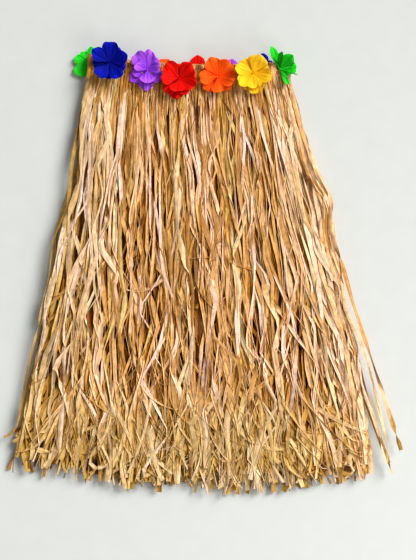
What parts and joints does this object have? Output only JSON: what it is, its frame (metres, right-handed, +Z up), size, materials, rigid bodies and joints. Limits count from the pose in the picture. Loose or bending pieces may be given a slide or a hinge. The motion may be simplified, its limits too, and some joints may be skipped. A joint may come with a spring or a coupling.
{
  "type": "grass skirt",
  "caption": "Raffia grass skirt laid flat: a flattened woven waistband with silk flowers all round, over front and back curtains of raffia strips that fan out to a ragged hem.",
  "frame": {"origin": "on the surface that the skirt lies on, under the middle of the laid-out skirt's box", "axes": "+Y from the hem to the waist, +X to the right as seen from above, +Z up off the surface, out of the skirt's front"},
  "size_m": [0.7444, 0.842, 0.0497],
  "materials": {
    "raffia": "dry natural raffia palm leaf, split in strips, satin along the grain",
    "woven_band": "woven elastic webbing, matt",
    "silk_green": "heat-pressed polyester silk petals, satin",
    "silk_blue": "heat-pressed polyester silk petals, satin",
    "silk_purple": "heat-pressed polyester silk petals, satin",
    "silk_red": "heat-pressed polyester silk petals, satin",
    "silk_orange": "heat-pressed polyester silk petals, satin",
    "silk_yellow": "heat-pressed polyester silk petals, satin"
  },
  "bodies": {
    "root": {"waistband": "woven_band", "raffia_back_outer": "raffia", "raffia_back_inner": "raffia", "raffia_front_inner": "raffia", "raffia_front_outer": "raffia", "flower_front_blue": "silk_blue", "flower_front_purple": "silk_purple", "flower_front_red": "silk_red", "flower_front_orange": "silk_orange", "flower_front_yellow": "silk_yellow", "flower_back_yellow": "silk_yellow", "flower_back_orange": "silk_orange", "flower_back_red": "silk_red", "flower_back_purple": "silk_purple", "flower_back_blue": "silk_blue", "flower_left_green": "silk_green", "flower_right_green": "silk_green"}
  },
  "joints": []
}
